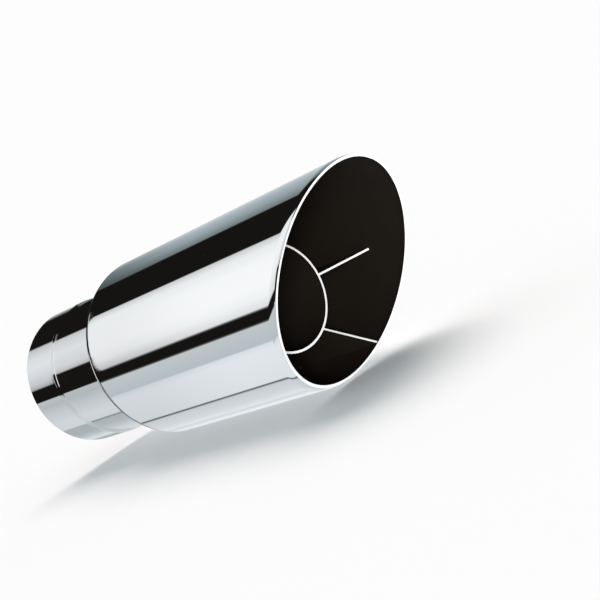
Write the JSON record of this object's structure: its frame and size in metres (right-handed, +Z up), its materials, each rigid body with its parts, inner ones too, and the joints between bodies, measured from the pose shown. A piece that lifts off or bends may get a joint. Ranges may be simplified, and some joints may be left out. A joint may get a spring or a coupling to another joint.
{
  "type": "exhaust tip",
  "caption": "Slash-cut exhaust tip: a polished tube spun down to a slip-on inlet, with a finned black inner tube in its mouth.",
  "frame": {"origin": "centre of the inlet sleeve's open rear rim", "axes": "+X along the tube to the mouth, +Z up as fitted with the long side of the slash cut on top"},
  "size_m": [0.2449, 0.0888, 0.0888],
  "materials": {
    "polished_stainless": "mirror polished stainless steel",
    "polished_weld": "weld bead, ground and polished",
    "black_coating": "satin black heat-resistant coating"
  },
  "bodies": {
    "root": {"outer_shell": "polished_stainless", "inlet_sleeve": "polished_stainless", "seam_weld": "polished_weld", "inner_tube": "black_coating", "fin_1": "black_coating", "fin_2": "black_coating", "fin_3": "black_coating", "fin_4": "black_coating", "tack_welds": "black_coating"}
  },
  "joints": []
}
